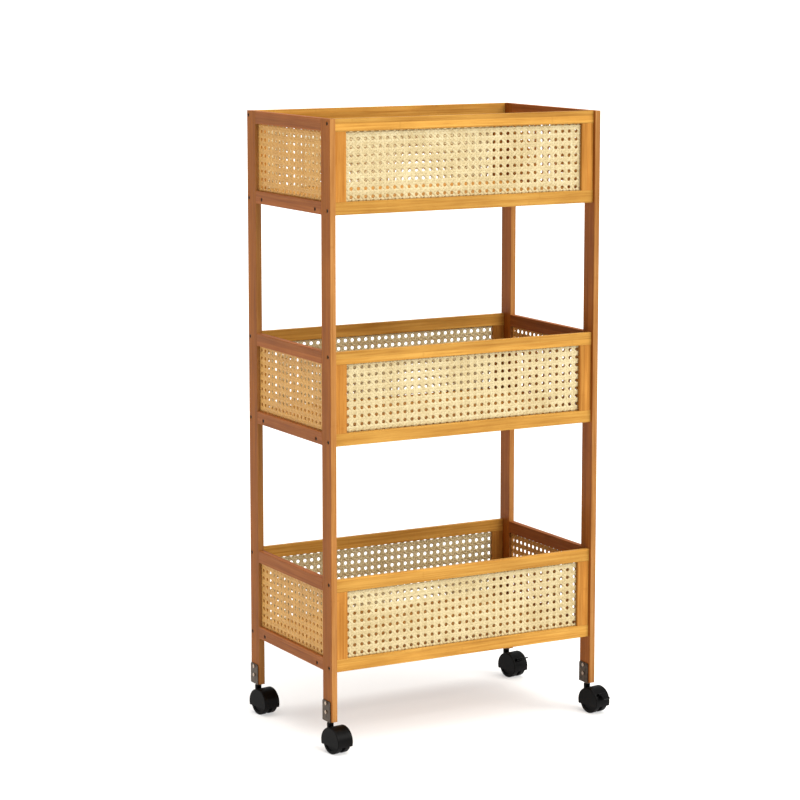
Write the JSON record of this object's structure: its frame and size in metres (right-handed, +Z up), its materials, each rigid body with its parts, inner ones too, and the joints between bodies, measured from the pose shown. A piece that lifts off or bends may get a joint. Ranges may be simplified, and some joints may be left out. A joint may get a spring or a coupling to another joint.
{
  "type": "rolling utility cart",
  "caption": "Rolling utility cart with shallow bamboo baskets closed by open-weave cane panels, slatted floors, flat posts and hooded twin-wheel casters with foot brakes",
  "frame": {"origin": "on the floor, under the middle of the bounding box", "axes": "+Z up; +X to the right seen from the front; the front faces -Y"},
  "size_m": [0.5034, 0.314, 0.968],
  "materials": {
    "bamboo_front": "satin varnished bamboo",
    "bamboo": "satin varnished bamboo",
    "cane": "natural woven cane, matt",
    "dark_steel": "blackened screw",
    "steel": "dark plated steel",
    "chrome": "bright plated",
    "gloss_black": "glossy moulded nylon",
    "wheel_black": "moulded nylon tread"
  },
  "bodies": {
    "root": {"post_front_left": "bamboo", "post_front_right": "bamboo", "post_back_left": "bamboo", "post_back_right": "bamboo", "front_frame_bottom": "bamboo_front", "back_frame_bottom": "bamboo_front", "side_rails_left_bottom": "bamboo", "side_rails_right_bottom": "bamboo", "cane_front_bottom": "cane", "cane_back_bottom": "cane", "cane_left_bottom": "cane", "cane_right_bottom": "cane", "tray_bottom": "bamboo", "front_frame_middle": "bamboo_front", "back_frame_middle": "bamboo_front", "side_rails_left_middle": "bamboo", "side_rails_right_middle": "bamboo", "cane_front_middle": "cane", "cane_back_middle": "cane", "cane_left_middle": "cane", "cane_right_middle": "cane", "tray_middle": "bamboo", "front_frame_top": "bamboo_front", "back_frame_top": "bamboo_front", "side_rails_left_top": "bamboo", "side_rails_right_top": "bamboo", "cane_front_top": "cane", "cane_back_top": "cane", "cane_left_top": "cane", "cane_right_top": "cane", "tray_top": "bamboo", "floor_cleats": "bamboo", "joining_screws": "dark_steel", "bracket_screws": "chrome", "bracket_front_left": "steel", "stem_front_left": "chrome", "bracket_front_right": "steel", "stem_front_right": "chrome", "bracket_back_left": "steel", "stem_back_left": "chrome", "bracket_back_right": "steel", "stem_back_right": "chrome"},
    "caster_front_left": {"hood_front_left": "gloss_black", "axle_front_left": "steel"},
    "wheel_front_left_inner": {"wheel_front_left_inner": "wheel_black"},
    "wheel_front_left_outer": {"wheel_front_left_outer": "wheel_black"},
    "caster_front_right": {"hood_front_right": "gloss_black", "axle_front_right": "steel"},
    "wheel_front_right_inner": {"wheel_front_right_inner": "wheel_black"},
    "wheel_front_right_outer": {"wheel_front_right_outer": "wheel_black"},
    "caster_back_left": {"hood_back_left": "gloss_black", "axle_back_left": "steel"},
    "wheel_back_left_inner": {"wheel_back_left_inner": "wheel_black"},
    "wheel_back_left_outer": {"wheel_back_left_outer": "wheel_black"},
    "caster_back_right": {"hood_back_right": "gloss_black", "axle_back_right": "steel"},
    "wheel_back_right_inner": {"wheel_back_right_inner": "wheel_black"},
    "wheel_back_right_outer": {"wheel_back_right_outer": "wheel_black"},
    "brake_lever_front_right": {"brake_lever_front_right": "gloss_black"},
    "brake_lever_back_right": {"brake_lever_back_right": "gloss_black"}
  },
  "joints": [
    {"name": "swivel_front_left", "type": "hinge", "parent": "root", "child": "caster_front_left", "pos_m": [-0.23691, -0.1082, 0.044], "axis": [0, 0, 1], "continuous": true},
    {"name": "spin_front_left_inner", "type": "hinge", "parent": "caster_front_left", "child": "wheel_front_left_inner", "pos_m": [-0.24176, -0.12618, 0.0195], "axis": [0.9877, 0.1564, 0], "continuous": true},
    {"name": "spin_front_left_outer", "type": "hinge", "parent": "caster_front_left", "child": "wheel_front_left_outer", "pos_m": [-0.22674, -0.12381, 0.0195], "axis": [0.9877, 0.1564, 0], "continuous": true},
    {"name": "swivel_front_right", "type": "hinge", "parent": "root", "child": "caster_front_right", "pos_m": [0.23159, -0.1082, 0.044], "axis": [0, 0, 1], "continuous": true},
    {"name": "spin_front_right_inner", "type": "hinge", "parent": "caster_front_right", "child": "wheel_front_right_inner", "pos_m": [0.22674, -0.12618, 0.0195], "axis": [0.9877, 0.1564, 0], "continuous": true},
    {"name": "spin_front_right_outer", "type": "hinge", "parent": "caster_front_right", "child": "wheel_front_right_outer", "pos_m": [0.24176, -0.12381, 0.0195], "axis": [0.9877, 0.1564, 0], "continuous": true},
    {"name": "swivel_back_left", "type": "hinge", "parent": "root", "child": "caster_back_left", "pos_m": [-0.23691, 0.1423, 0.044], "axis": [0, 0, 1], "continuous": true},
    {"name": "spin_back_left_inner", "type": "hinge", "parent": "caster_back_left", "child": "wheel_back_left_inner", "pos_m": [-0.24176, 0.12432, 0.0195], "axis": [0.9877, 0.1564, 0], "continuous": true},
    {"name": "spin_back_left_outer", "type": "hinge", "parent": "caster_back_left", "child": "wheel_back_left_outer", "pos_m": [-0.22674, 0.12669, 0.0195], "axis": [0.9877, 0.1564, 0], "continuous": true},
    {"name": "swivel_back_right", "type": "hinge", "parent": "root", "child": "caster_back_right", "pos_m": [0.23159, 0.1423, 0.044], "axis": [0, 0, 1], "continuous": true},
    {"name": "spin_back_right_inner", "type": "hinge", "parent": "caster_back_right", "child": "wheel_back_right_inner", "pos_m": [0.22674, 0.12432, 0.0195], "axis": [0.9877, 0.1564, 0], "continuous": true},
    {"name": "spin_back_right_outer", "type": "hinge", "parent": "caster_back_right", "child": "wheel_back_right_outer", "pos_m": [0.24176, 0.12669, 0.0195], "axis": [0.9877, 0.1564, 0], "continuous": true},
    {"name": "brake_front_right", "type": "hinge", "parent": "caster_front_right", "child": "brake_lever_front_right", "pos_m": [0.23745, -0.14522, 0.03384], "axis": [0.9877, 0.1564, 0], "range_deg": [-50, 0]},
    {"name": "brake_back_right", "type": "hinge", "parent": "caster_back_right", "child": "brake_lever_back_right", "pos_m": [0.23745, 0.10528, 0.03384], "axis": [0.9877, 0.1564, 0], "range_deg": [0, 50]}
  ]
}
